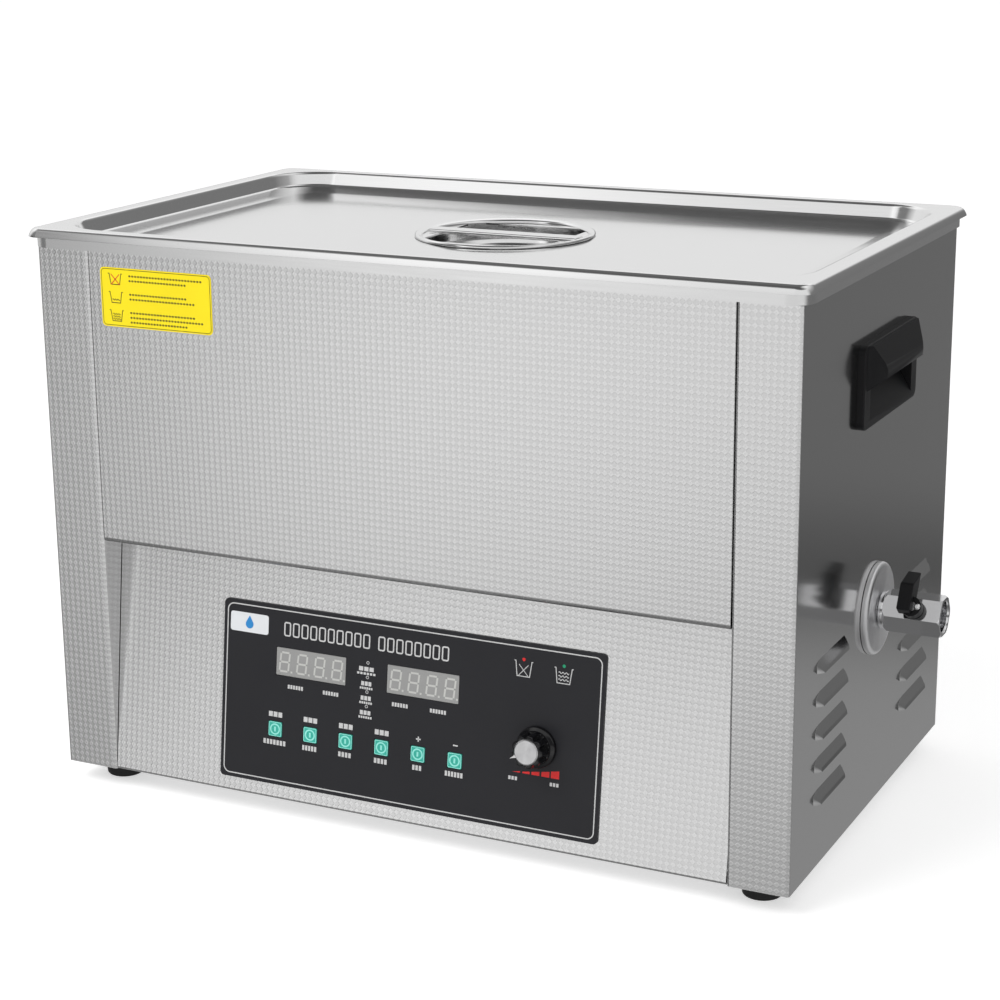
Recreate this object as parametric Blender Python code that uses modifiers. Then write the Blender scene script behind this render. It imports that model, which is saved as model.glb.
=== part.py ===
"""Bench-top ultrasonic cleaner with a 30 litre tank, a loose lid, a slanted control panel and a drain valve.

Lengths are in millimetres until MM turns them into metres. The body frame has X to the right, the front
facing -Y, and z = 0 at the underside of the casing. The last step centres the whole machine on the floor.
"""
import math

import bmesh
import bpy
from mathutils import Matrix, Vector

MM = 0.001

# Casing
BODY_X = 261.5
BODY_Y = 158.5
SHEET = 1.0
PANEL_TOP = 357.6
POST_INNER_X = 221.8
POST_RETURN_Y = -137.0
BEND = 2.0
RECESS_Z = 162.0
FOOT_X = 235.0
FOOT_Y = 130.0
FOOT_HEIGHT = 14.0

# Tank and lid, as half widths in X and Y
TANK_X, TANK_Y, TANK_CORNER = 253.5, 152.0, 38.0
TANK_FLANGE_X, TANK_FLANGE_Y, FLANGE_CORNER = 265.0, 162.5, 14.0
TANK_TOP, TANK_FLOOR = 369.1, 166.0
LID_TOP, LID_FLOOR = 370.4, 358.2
CUP_HOLE = 56.0

# Slanted control panel: s runs up the slope, n stands out of it
SLOPE = math.atan(0.127)
OVERLAY = (-138.0, 136.5, 10.5, 131.0)
DISPLAY_X = {"minutes_display": (-97.5, -45.0), "temperature_display": (-15.0, 37.0)}
DISPLAY_S = (84.5, 103.5)
KEY_NAMES = ("ultrasonic_key", "heater_key", "degas_key", "sweep_key", "plus_key", "minus_key")
KEY_X0, KEY_PITCH, KEY_S, KEY_SIZE = -96.5, 26.52, 48.0, 10.6
KNOB_X, KNOB_S, KNOB_SKIRT = 92.8, 66.1, 13.3
BOARD_N = -12.4

# Drain valve on the right wall
DRAIN_Y, DRAIN_Z, DRAIN_X = -3.5, 135.6, 215.0
HEX_FLATS = 24.0
VALVE_MOUTH_X = 307.2
STEM_X = 290.0

# Grips, louvres, and the pieces on the rear wall
GRIP_TOP, GRIP_BOTTOM = 315.0, 262.5
LOUVRE_Y, LOUVRE_TOP, LOUVRE_PITCH, LOUVRE_COUNT = 89.0, 132.0, 21.2, 5
REAR_Y = 157.0
REAR_Z = 45.0
INLET_X, SWITCH_X, FUSE_X = 150.0, 190.0, 115.0
FAN_X, FAN_Z = -150.0, 70.0

# Finish: base colour, metallic, roughness
STAINLESS = ((0.60, 0.60, 0.61), 1.0, 0.25)
BRIGHT = ((0.75, 0.75, 0.76), 1.0, 0.12)
ALUMINIUM = ((0.72, 0.73, 0.74), 1.0, 0.4)
BRASS = ((0.72, 0.52, 0.25), 1.0, 0.3)
RUBBER = ((0.02, 0.02, 0.02), 0.0, 0.8)
BLACK = ((0.015, 0.015, 0.016), 0.0, 0.35)
CHARCOAL = ((0.033, 0.034, 0.038), 0.0, 0.45)
DISPLAY = ((0.38, 0.38, 0.38), 0.0, 0.3)
TEAL = ((0.05, 0.48, 0.38), 0.0, 0.4)
BOARD = ((0.02, 0.16, 0.06), 0.0, 0.5)
HEATER = ((0.45, 0.09, 0.03), 0.0, 0.6)
STEEL = ((0.35, 0.35, 0.36), 1.0, 0.4)

BODY = Matrix.Identity(4)


def collection(name):
    made = bpy.data.collections.new(name)
    bpy.context.scene.collection.children.link(made)
    return made


def finished(name, finish):
    colour, metallic, roughness = finish
    material = bpy.data.materials.new(name + "_finish")
    material.use_nodes = True
    shader = material.node_tree.nodes["Principled BSDF"]
    shader.inputs["Base Color"].default_value = (*colour, 1.0)
    shader.inputs["Metallic"].default_value = metallic
    shader.inputs["Roughness"].default_value = roughness
    return material


def place(name, shape, finish, frame):
    """Turn a bmesh drawn in millimetres into an object: a part if it has a finish, otherwise a cutter."""
    bmesh.ops.scale(shape, vec=(MM, MM, MM), verts=shape.verts)
    mesh = bpy.data.meshes.new(name)
    shape.to_mesh(mesh)
    shape.free()
    thing = bpy.data.objects.new(name, mesh)
    thing.matrix_basis = frame
    thing.parent = machine
    if finish:
        parts.objects.link(thing)
        mesh.materials.append(finished(name, finish))
    else:
        cutters.objects.link(thing)
        thing.hide_render = True
        thing.display_type = "WIRE"
    return thing


def at(x, y, z, frame=BODY):
    return frame @ Matrix.Translation(Vector((x, y, z)) * MM)


def facing(frame, z_axis, x_axis):
    """A frame at the same place, with its Z and X axes turned to the directions given."""
    z = Vector(z_axis).normalized()
    x = Vector(x_axis).normalized()
    turn = Matrix((x, z.cross(x), z)).transposed().to_4x4()
    return frame @ turn


def box(name, low, high, finish=None, frame=BODY, bevel=0.0):
    shape = bmesh.new()
    bmesh.ops.create_cube(shape, size=1.0)
    low, high = Vector(low), Vector(high)
    bmesh.ops.scale(shape, vec=high - low, verts=shape.verts)
    bmesh.ops.translate(shape, vec=(low + high) / 2, verts=shape.verts)
    thing = place(name, shape, finish, frame)
    if bevel:
        rounded(thing, bevel)
    return thing


def cylinder(name, radius, low, high, finish=None, frame=BODY, sides=24):
    shape = bmesh.new()
    bmesh.ops.create_cone(
        shape, cap_ends=True, segments=sides, radius1=radius, radius2=radius, depth=high - low
    )
    bmesh.ops.translate(shape, vec=(0, 0, (low + high) / 2), verts=shape.verts)
    return place(name, shape, finish, frame)


def turned(name, profile, finish=None, frame=BODY, sides=24, closed=False):
    """Screw a profile of (radius, height) points about Z: down its outer side from the top."""
    shape = bmesh.new()
    points = [shape.verts.new((radius, 0, height)) for radius, height in profile]
    for first, second in zip(points, points[1:]):
        shape.edges.new((first, second))
    if closed:
        shape.edges.new((points[-1], points[0]))
    thing = place(name, shape, finish, frame)
    screw = thing.modifiers.new("Turn", "SCREW")
    screw.steps = sides
    screw.render_steps = sides
    screw.use_merge_vertices = True
    screw.merge_threshold = 1e-5
    return thing


def solidify(thing, thickness, offset):
    shell = thing.modifiers.new("Sheet", "SOLIDIFY")
    shell.thickness = thickness * MM
    shell.offset = offset
    shell.use_even_offset = True


def rounded(thing, width):
    bevel = thing.modifiers.new("Round", "BEVEL")
    bevel.width = width * MM
    bevel.segments = 2
    bevel.limit_method = "ANGLE"
    bevel.angle_limit = math.radians(40)


def plate(name, outline, low, high, finish=None, frame=BODY):
    """A flat outline, drawn counter-clockwise, made as thick as low to high along Z."""
    shape = bmesh.new()
    shape.faces.new([shape.verts.new((x, y, low)) for x, y in outline])
    thing = place(name, shape, finish, frame)
    solidify(thing, high - low, 1.0)
    return thing


def fillet(corners, radius, segments=3):
    """The same open line with each inner corner replaced by an arc."""
    line = [Vector(corners[0])]
    for before, here, after in zip(corners, corners[1:], corners[2:]):
        here = Vector(here)
        back = (Vector(before) - here).normalized()
        ahead = (Vector(after) - here).normalized()
        half = back.angle(ahead) / 2
        centre = here + (back + ahead).normalized() * (radius / math.sin(half))
        start = here + back * (radius / math.tan(half)) - centre
        sweep = (math.pi - 2 * half) * math.copysign(1, -back.x * ahead.y + back.y * ahead.x)
        for step in range(segments + 1):
            turn = Matrix.Rotation(sweep * step / segments, 2)
            line.append(centre + turn @ start)
    line.append(Vector(corners[-1]))
    return line


def folded(name, line, low, high, finish, frame=BODY):
    """A folded sheet: a line with its outside on the right, drawn out along Z and thickened inwards."""
    shape = bmesh.new()
    lower = [shape.verts.new((x, y, low)) for x, y in line]
    upper = [shape.verts.new((x, y, high)) for x, y in line]
    for i in range(len(line) - 1):
        shape.faces.new((lower[i], lower[i + 1], upper[i + 1], upper[i]))
    thing = place(name, shape, finish, frame)
    solidify(thing, SHEET, -1.0)
    return thing


def rounded_rectangle(half_x, half_y, corner, segments=5):
    outline = []
    for quarter, (sx, sy) in enumerate(((1, 1), (-1, 1), (-1, -1), (1, -1))):
        for step in range(segments + 1):
            angle = math.pi / 2 * (quarter + step / segments)
            x = sx * (half_x - corner) + corner * math.cos(angle)
            y = sy * (half_y - corner) + corner * math.sin(angle)
            outline.append((x, y))
    return outline


def pressed(name, rings, finish):
    """A pressed sheet: rings of (half x, half y, corner, z), lofted, floored and thickened below."""
    shape = bmesh.new()
    loops = []
    for half_x, half_y, corner, z in rings:
        outline = rounded_rectangle(half_x, half_y, corner)
        loops.append([shape.verts.new((x, y, z)) for x, y in outline])
    for lower, upper in zip(loops, loops[1:]):
        for i in range(len(lower)):
            j = (i + 1) % len(lower)
            shape.faces.new((lower[i], lower[j], upper[j], upper[i]))
    shape.faces.new(loops[-1])
    thing = place(name, shape, finish, BODY)
    solidify(thing, SHEET, -1.0)
    return thing


def hulls(name, groups, finish=None, frame=BODY):
    """One object of one or more convex blocks, each the hull of its points."""
    shape = bmesh.new()
    for points in groups:
        corners = [shape.verts.new(point) for point in points]
        made = bmesh.ops.convex_hull(shape, input=corners)
        spare = {v for v in made["geom_interior"] + made["geom_unused"] if isinstance(v, bmesh.types.BMVert)}
        bmesh.ops.delete(shape, geom=list(spare), context="VERTS")
    return place(name, shape, finish, frame)


def combine(thing, operation, *tools):
    for tool in tools:
        boolean = thing.modifiers.new(tool.name, "BOOLEAN")
        boolean.operation = operation
        boolean.solver = "EXACT"
        boolean.object = tool


def cut(thing, *tools):
    combine(thing, "DIFFERENCE", *tools)


def weld(thing, *tools):
    combine(thing, "UNION", *tools)


def louvre(side, y, z, inset, mouth):
    """The eight corners of a hood that leans out of a side wall and opens downwards."""
    half, proud = 28.0 - 2.0 * inset, 3.7 - inset
    top, bottom = z + 4.25 - 1.3 * inset, z - 4.25 - mouth
    root = BODY_X - 0.6 - 1.2 * inset
    ends = ((half, 0.0), (half - 4.5, 1.0))
    corners = []
    for end, rise in ends:
        for sign in (-1, 1):
            where = y + sign * end
            face = BODY_X - 0.1 * inset
            corners.append((side * root, where, top))
            corners.append((side * root, where, bottom))
            corners.append((side * face, where, top))
            corners.append((side * (face + proud * rise), where, bottom))
            corners.append((side * (face + proud * rise * 0.8), where, z))
    return corners


def side_panel(name, side):
    line = [
        (POST_INNER_X, POST_RETURN_Y),
        (POST_INNER_X, -BODY_Y),
        (BODY_X, -BODY_Y),
        (BODY_X, BODY_Y),
        (BODY_X - 20.0, BODY_Y),
    ]
    if side < 0:
        line = [(-x, y) for x, y in reversed(line)]
    panel = folded(name, fillet(line, BEND), 0.0, PANEL_TOP, STAINLESS)
    places = [
        (column * LOUVRE_Y, LOUVRE_TOP - LOUVRE_PITCH * row)
        for column in (-1, 1)
        for row in range(LOUVRE_COUNT)
    ]
    weld(panel, hulls(name + "_hoods", [louvre(side, y, z, 0.0, 0.0) for y, z in places]))
    cut(panel, hulls(name + "_slots", [louvre(side, y, z, 1.0, 1.3) for y, z in places]))
    near, far = sorted((side * (POST_INNER_X - 1.0), side * (POST_INNER_X + 2.0)))
    low, high = (near, -BODY_Y + 4.0, RECESS_Z + 1.5), (far, POST_RETURN_Y + 5.0, PANEL_TOP + 5.0)
    cut(panel, box(name + "_tank_relief", low, high))
    near, far = sorted((side * (BODY_X - 4.0), side * (BODY_X + 4.0)))
    cut(panel, box(name + "_grip_hole", (near, -46.0, 267.0), (far, 46.0, 311.5)))
    return panel


def casing():
    side_panel("left_side_panel", -1)
    right = side_panel("right_side_panel", 1)
    cut(right, cylinder("drain_wall_hole", 11.0, 250.0, 270.0, frame=drain_frame()))
    sideways = facing(BODY, (1, 0, 0), (0, 1, 0))
    edge = POST_INNER_X - 0.4
    upper = [(-BODY_Y, PANEL_TOP), (-BODY_Y, RECESS_Z), (POST_RETURN_Y, RECESS_Z)]
    folded("upper_front_panel", fillet(upper, 4.0, 4), -edge, edge, STAINLESS, sideways)
    foot, top = -BODY_Y + 0.2, RECESS_Z - 0.4
    lower = [(foot + top * math.tan(SLOPE), top), (foot, 0.0), (foot + 18.0, 0.0)]
    front = folded("lower_front_panel", fillet(lower, BEND), -edge, edge, STAINLESS, sideways)
    for name, (left, right_edge) in DISPLAY_X.items():
        low = (left - 1.0, DISPLAY_S[0] - 1.0, -5.0)
        high = (right_edge + 1.0, DISPLAY_S[1] + 1.0, 5.0)
        cut(front, box(name + "_window", low, high, frame=PANEL))
    low = (KEY_X0 - 8.0, KEY_S - 7.0, -5.0)
    high = (KEY_X0 + 5 * KEY_PITCH + 8.0, KEY_S + 7.0, 5.0)
    cut(front, box("key_slot", low, high, frame=PANEL))
    cut(front, cylinder("bushing_hole", 4.6, -5.0, 5.0, frame=at(KNOB_X, KNOB_S, 0, PANEL)))
    box("base_plate", (-259.8, POST_RETURN_Y + 0.4, 0.0), (259.8, 155.4, 1.5), STAINLESS)


def rear_frame(x, z, depth=0.0):
    """A frame on the rear wall's outer face, or so far inside it, with Z pointing to the rear."""
    return facing(at(x, REAR_Y - depth, z), (0, 1, 0), (1, 0, 0))


def rear_wall():
    low, high = (-259.8, REAR_Y - SHEET, 0.0), (259.8, REAR_Y, PANEL_TOP)
    wall = box("back_panel", low, high, STAINLESS)
    cut(wall, cylinder("fan_hole", 38.0, -4.0, 4.0, frame=rear_frame(FAN_X, FAN_Z), sides=32))
    cut(wall, cylinder("fuse_hole", 6.6, -4.0, 4.0, frame=rear_frame(FUSE_X, REAR_Z)))
    for name, x, half_x, half_z in (("inlet", INLET_X, 14.0, 10.6), ("switch", SWITCH_X, 10.2, 14.2)):
        low = (x - half_x, REAR_Y - 4.0, REAR_Z - half_z)
        high = (x + half_x, REAR_Y + 4.0, REAR_Z + half_z)
        cut(wall, box(name + "_hole", low, high))


def feet():
    profile = [(0, -0.2), (14, -0.2), (14, -3), (12.6, -12), (11.6, -FOOT_HEIGHT), (0, -FOOT_HEIGHT)]
    for depth, y in (("front", -FOOT_Y), ("rear", FOOT_Y)):
        for hand, x in (("left", -FOOT_X), ("right", FOOT_X)):
            turned(f"{depth}_{hand}_foot", profile, RUBBER, at(x, y, 0), sides=20)


def tank():
    top, lip = TANK_TOP, 4.0
    rings = [(TANK_FLANGE_X, TANK_FLANGE_Y, FLANGE_CORNER, 358.0)]
    for step in range(3):
        angle = math.pi / 4 * step
        inset, drop = lip * (1 - math.cos(angle)), lip * (1 - math.sin(angle))
        rings.append((TANK_FLANGE_X - inset, TANK_FLANGE_Y - inset, FLANGE_CORNER - inset, top - drop))
    for step in range(3):
        angle = math.pi / 4 * step
        out, drop = 3.0 * (1 - math.sin(angle)), 3.0 * (1 - math.cos(angle))
        rings.append((TANK_X + out, TANK_Y + out, TANK_CORNER + out, top - drop))
    for step in range(4):
        angle = math.pi / 6 * step
        inset, rise = 15.0 * (1 - math.cos(angle)), 15.0 * (1 - math.sin(angle))
        rings.append((TANK_X - inset, TANK_Y - inset, TANK_CORNER - inset, TANK_FLOOR + rise))
    basin = pressed("tank", rings, STAINLESS)
    cut(basin, cylinder("drain_hole", 9.0, 150.0, 180.0, frame=at(DRAIN_X, DRAIN_Y, 0)))
    for hand, side in (("front", -1), ("rear", 1)):
        near, far = sorted((side * (TANK_Y + SHEET + 0.3), side * (TANK_Y + SHEET + 1.8)))
        box(f"{hand}_heater_pad", (-190, near, 190), (190, far, 270), HEATER)
    for row, y in (("front", -75.0), ("rear", 75.0)):
        for number in range(4):
            transducer(f"{row}_transducer_{number + 1}", -150.0 + 100.0 * number, y)
    cylinder("temperature_sensor", 5.0, 145.0, 164.6, BRASS, at(0, 0, 0), sides=16)


def transducer(name, x, y):
    profile = [(0, 0), (29, 0), (29, -5), (20, -24), (19, -36), (22, -37), (22, -56), (0, -56)]
    turned(name, profile, ALUMINIUM, at(x, y, TANK_FLOOR - SHEET - 0.4), sides=16)


def lid():
    rings = [
        (268.0, 165.5, 10.0, 364.8),
        (264.1, 161.6, 7.0, LID_TOP),
        (253.0, 151.5, 37.5, LID_TOP),
        (249.5, 147.0, 34.0, 360.2),
        (227.5, 125.0, 24.0, LID_FLOOR),
    ]
    panel = pressed("lid_panel", rings, BRIGHT)
    cut(panel, cylinder("cup_hole", CUP_HOLE, 350.0, 365.0, sides=40))
    rim = LID_FLOOR + 0.3
    wall = CUP_HOLE - 0.5
    depth = rim - 18.0
    cup = [
        (0.0, depth),
        (wall - 6.5, depth),
        (wall - 1.0, depth + 6.0),
        (wall - 1.0, rim + 1.0),
        (wall + 0.5, rim + 2.0),
        (59.0, rim + 2.0),
        (60.0, rim + 1.0),
        (60.0, rim),
        (wall, rim),
        (wall, depth + 6.0),
        (wall - 6.0, depth - 1.0),
        (0.0, depth - 1.0),
    ]
    turned("lid_handle_cup", cup, BRIGHT, sides=40)
    reach = wall - 2.2
    low, high = (-reach, -6.5, LID_FLOOR - 1.2), (reach, 6.5, LID_FLOOR + 1.8)
    box("lid_handle_bar", low, high, BRIGHT, bevel=1.0)


def grip(name, side):
    """A moulded grip: a face plate, a shallow pocket behind it and a hood over the finger opening."""

    def block(label, low, high):
        near, far = sorted((side * low[0], side * high[0]))
        return box(name + label, (near, low[1], low[2]), (far, high[1], high[2]))

    def hood(label, half, section):
        return hulls(name + label, [[(side * x, y, z) for x, z in section for y in (-half, half)]])

    face = BODY_X + 0.3
    outline = rounded_rectangle(55.5, (GRIP_TOP - GRIP_BOTTOM) / 2, 6.0, 3)
    middle = (GRIP_TOP + GRIP_BOTTOM) / 2
    outward = facing(at(0, 0, middle), (side, 0, 0), (0, side, 0))
    body = plate(name, outline, face, BODY_X + 4.7, BLACK, outward)
    weld(body, block("_pocket", (255.3, -45.0, 268.0), (face + 2.0, 45.0, 310.5)))
    outside = (
        (262.5, 314.6), (269.6, 314.6), (273.8, 305.0), (275.1, 294.5), (274.0, 292.0), (262.5, 292.0)
    )
    weld(body, hood("_hood", 42.0, outside))
    cut(body, block("_hollow", (256.6, -43.6, 269.4), (262.9, 43.6, 309.1)))
    cut(body, block("_opening", (262.0, -40.4, 271.0), (280.0, 40.4, 292.6)))
    inside = (
        (262.0, 309.1), (267.6, 309.1), (271.8, 303.5), (273.2, 294.5), (272.4, 290.0), (262.0, 290.0)
    )
    cut(body, hood("_finger_room", 40.4, inside))


def controls():
    left, right, low, high = OVERLAY
    middle = at((left + right) / 2, (low + high) / 2, 0, PANEL)
    outline = rounded_rectangle((right - left) / 2, (high - low) / 2, 3.0, 3)
    overlay = plate("control_overlay", outline, 0.3, 1.3, CHARCOAL, middle)
    for name, (start, end) in DISPLAY_X.items():
        bottom, top = DISPLAY_S
        cut(overlay, box(name + "_opening", (start, bottom, -2), (end, top, 3), frame=PANEL))
        box(name, (start + 0.3, bottom + 0.3, -11.8), (end - 0.3, top - 0.3, 1.1), DISPLAY, PANEL)
    half = KEY_SIZE / 2
    for number, name in enumerate(KEY_NAMES):
        spot = at(KEY_X0 + KEY_PITCH * number, KEY_S, 0, PANEL)
        cut(overlay, box(name + "_opening", (-half, -half, -2), (half, half, 3), frame=spot))
        key = box(name, (0.3 - half, 0.3 - half, -1.5), (half - 0.3, half - 0.3, 1.7), TEAL, spot)
        weld(key, cylinder(name + "_plunger", 2.0, -11.5, -1.0, frame=spot, sides=12))
    spot = at(KNOB_X, KNOB_S, 0, PANEL)
    cut(overlay, cylinder("overlay_bushing_hole", 4.6, -2.0, 3.0, frame=spot))
    knob(spot)
    low, high = (-125.0, 18.0, BOARD_N - 1.6), (125.0, 122.0, BOARD_N)
    box("control_board", low, high, BOARD, PANEL)


def knob(spot):
    profile = [
        (0, 17.4),
        (9.8, 17.4),
        (10.7, 16.5),
        (10.9, 5.0),
        (KNOB_SKIRT, 3.6),
        (KNOB_SKIRT, 1.7),
        (5.0, 1.7),
        (5.0, 4.0),
        (3.3, 4.0),
        (3.3, 12.3),
        (0, 12.3),
    ]
    turned("power_knob", profile, BLACK, spot, sides=32)
    turned("power_knob_cap", [(0, 18.6), (7.7, 18.6), (8.2, 17.7), (0, 17.7)], ALUMINIUM, spot, sides=32)
    cylinder("power_knob_shaft", 3.0, -1.0, 12.0, STEEL, spot, sides=16)
    bushing = [(0, -1.4), (3.3, -1.4), (3.3, 3.4), (4.2, 3.4), (4.2, -1.9)]
    turned("potentiometer", bushing + [(9.0, -1.9), (9.0, -11.5), (0, -11.5)], STEEL, spot, sides=24)


def drain_frame():
    """The drain's frame: Z along +X at the valve's height, so that heights are distances from the middle."""
    return facing(at(0, DRAIN_Y, DRAIN_Z), (1, 0, 0), (0, 1, 0))


def drain():
    along = drain_frame()
    ring = [(30.0, 265.2), (30.0, 261.8), (10.8, 261.8), (10.8, 266.2), (29.0, 266.2)]
    turned("drain_escutcheon", ring, BRIGHT, along, sides=40, closed=True)
    flats = hexagon(along)
    body = cylinder("valve_body", HEX_FLATS / math.sqrt(3), 266.5, VALVE_MOUTH_X, BRIGHT, flats, sides=6)
    weld(body, cylinder("valve_neck", 10.3, 246.0, 268.0, frame=along))
    cut(body, cylinder("valve_bore", 7.0, 240.0, 310.0, frame=along))
    cut(body, cylinder("valve_mouth", 10.0, 299.0, 310.0, frame=along))
    stem = facing(at(STEM_X, DRAIN_Y, DRAIN_Z), VALVE_OUT, VALVE_UP)
    cut(body, cylinder("valve_chamber", 8.6, -8.6, 8.6, frame=stem))
    cut(body, cylinder("stem_hole", 3.3, 0.0, 20.0, frame=stem, sides=16))
    ball = turned("valve_ball", arc_profile(8.2, 7), BRIGHT, stem, sides=20)
    cut(ball, cylinder("ball_bore", 5.5, -12.0, 12.0, frame=facing(stem, (1, 0, 0), (0, 1, 0))))
    cylinder("valve_stem", 3.0, 8.5, 19.8, STEEL, stem, sides=16)
    valve_handle(stem)
    nut = cylinder("drain_locknut", 15.0, 250.0, 258.0, BRASS, flats, sides=6)
    cut(nut, cylinder("locknut_hole", 10.6, 245.0, 262.0, frame=along))
    elbow()


def valve_handle(stem):
    """A hub on the stem with a fin beside its axis, held by a screw."""
    handle = cylinder("valve_handle", 6.5, 12.6, 20.0, BLACK, stem, sides=20)
    section = ((-4.0, 26.0), (13.0, 26.0), (24.0, 12.6), (-4.0, 18.0), (0.0, 12.6), (-5.5, 19.0))
    fin = [[(up, across, out) for up, out in section for across in (-1.0, 7.5)]]
    weld(handle, hulls("handle_fin", fin, frame=stem))
    cut(handle, cylinder("handle_hole", 3.3, 10.0, 20.1, frame=stem, sides=16))
    cylinder("handle_screw", 2.0, 20.3, 21.6, BRIGHT, at(0, -4.2, 0, stem), sides=16)


def hexagon(frame):
    """Half a side's turn, which puts a flat on top of a six-sided cylinder."""
    return frame @ Matrix.Rotation(math.pi / 6, 4, "Z")


def arc_profile(radius, steps):
    """Half a circle from the top of the axis down to its bottom."""
    turns = [math.pi * step / steps for step in range(steps + 1)]
    inner = [(radius * math.sin(turn), radius * math.cos(turn)) for turn in turns[1:-1]]
    return [(0, radius)] + inner + [(0, -radius)]


def elbow():
    """A bent drain pipe from the tank's floor to the neck of the valve, swept as rings along its bend."""
    bend, radius, sides = 14.0, 10.5, 20
    stations = [(DRAIN_X, TANK_FLOOR - SHEET - 0.3, 0.0)]
    for step in range(6):
        angle = math.pi / 2 * step / 5
        x = DRAIN_X + bend * (1 - math.cos(angle))
        stations.append((x, DRAIN_Z + bend * (1 - math.sin(angle)), angle))
    stations.append((245.6, DRAIN_Z, math.pi / 2))
    shape = bmesh.new()
    rings = []
    for x, z, angle in stations:
        ring = []
        for side in range(sides):
            around = 2 * math.pi * side / sides
            outward, sideways = radius * math.cos(around), radius * math.sin(around)
            spot = (x + outward * math.cos(angle), DRAIN_Y + sideways, z + outward * math.sin(angle))
            ring.append(shape.verts.new(spot))
        rings.append(ring)
    for near, far in zip(rings, rings[1:]):
        for i in range(sides):
            j = (i + 1) % sides
            shape.faces.new((near[i], far[i], far[j], near[j]))
    pipe = place("drain_elbow", shape, BRASS, BODY)
    solidify(pipe, 1.5, -1.0)


def fan():
    middle = rear_frame(FAN_X, FAN_Z)
    frame = box("fan_frame", (-40, -40, -26.5), (40, 40, -1.5), BLACK, middle, bevel=3.0)
    cut(frame, cylinder("fan_duct", 38.0, -23.5, 4.0, frame=middle, sides=32))
    cut(frame, cylinder("fan_intake", 36.0, -30.0, -20.0, frame=middle, sides=32))
    spider = box("fan_strut", (-38.0, -2.5, -26.5), (38.0, 2.5, -24.0), frame=middle)
    weld(frame, spider, cylinder("fan_motor_plate", 14.0, -26.5, -24.0, frame=middle))
    rotor = cylinder("fan_rotor", 16.0, -22.5, -4.0, BLACK, middle, sides=24)
    blades = []
    for number in range(7):
        turn = Matrix.Rotation(2 * math.pi * number / 7, 3, "Z")
        blade = []
        for radius, lean in ((15.0, 4.5), (35.5, 9.0)):
            for across, height in ((-lean, -21.0), (lean, -6.0)):
                for thick in (-0.8, 0.8):
                    blade.append(turn @ Vector((radius, across + thick, height)))
        blades.append(blade)
    weld(rotor, hulls("fan_blades", blades, frame=middle))
    guard = cylinder("fan_guard", 42.0, 0.3, 2.3, STEEL, middle, sides=32)
    for number, (inner, outer) in enumerate(((31.0, 38.5), (22.0, 29.0), (13.0, 20.0))):
        gap = [(outer, 5.0), (outer, -3.0), (inner, -3.0), (inner, 5.0)]
        cut(guard, turned(f"guard_gap_{number + 1}", gap, frame=middle, sides=32, closed=True))
    for number in range(2):
        spoke = middle @ Matrix.Rotation(math.pi / 4 + math.pi / 2 * number, 4, "Z")
        weld(guard, box(f"guard_spoke_{number + 1}", (-40.5, -1.2, 0.5), (40.5, 1.2, 2.1), frame=spoke))


def rear_fittings():
    inlet = rear_frame(INLET_X, REAR_Z)
    body = box("power_inlet", (-15.5, -12.5, 0.3), (15.5, 12.5, 2.8), BLACK, inlet)
    weld(body, box("inlet_case", (-13.6, -10.2, -24.0), (13.6, 10.2, 1.5), frame=inlet))
    cut(body, box("inlet_socket", (-12.0, -8.0, -16.0), (12.0, 8.0, 5.0), frame=inlet))
    for name, x, y in (("live", -7.0, 1.0), ("earth", 0.0, -3.0), ("neutral", 7.0, 1.0)):
        weld(body, box(f"inlet_{name}_pin", (x - 1, y - 2, -18.0), (x + 1, y + 2, -3.0), frame=inlet))
    switch = rear_frame(SWITCH_X, REAR_Z)
    case = box("mains_switch_frame", (-12.0, -16.0, 0.3), (12.0, 16.0, 2.3), BLACK, switch)
    weld(case, box("switch_case", (-9.8, -13.9, -22.0), (9.8, 13.9, 1.5), frame=switch))
    cut(case, box("switch_well", (-8.6, -12.9, -12.0), (8.6, 12.9, 5.0), frame=switch))
    tilt = rear_frame(SWITCH_X, REAR_Z, 4.0) @ Matrix.Rotation(math.radians(7), 4, "X")
    section = ((-11.0, 6.0), (0.0, 5.2), (11.0, 6.0), (11.0, 4.4), (5.0, -3.0), (-5.0, -3.0), (-11.0, 4.4))
    hulls("mains_switch_rocker", [[(x, z, out) for z, out in section for x in (-8.2, 8.2)]], BLACK, tilt)
    profile = [(0, 6.0), (7.0, 6.0), (8.5, 4.5), (8.5, 0.3), (6.2, 0.3), (6.2, -28.0), (0, -28.0)]
    turned("fuse_holder", profile, BLACK, rear_frame(FUSE_X, REAR_Z), sides=20)


def electronics():
    board = box("generator_board", (-60, -60, 10.0), (120, 100, 11.6), BOARD)
    for x in (-50, 110):
        for y in (-50, 90):
            weld(board, cylinder(f"standoff_{x}_{y}", 4.0, 1.8, 10.8, frame=at(x, y, 0), sides=10))
    fins = [(0.0, 0.0), (60.0, 0.0)]
    for number in range(6):
        right = 60.0 - 11.6 * number
        fins += [(right, 45.0), (right - 2.0, 45.0)]
        if number < 5:
            fins += [(right - 2.0, 5.0), (right - 11.6, 5.0)]
    upright = facing(at(140, 100, 2.0), (0, -1, 0), (1, 0, 0))
    plate("heat_sink", fins, 0.0, 90.0, ALUMINIUM, upright)
    outer = [(32.0, 27.0), (32.0, 5.0), (28.0, 1.8)]
    inner = [(16.0, 1.8), (12.0, 5.0), (12.0, 27.0), (16.0, 31.0), (28.0, 31.0)]
    turned("output_transformer", outer + inner, BRASS, at(-115, -60, 0), sides=24, closed=True)


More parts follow.
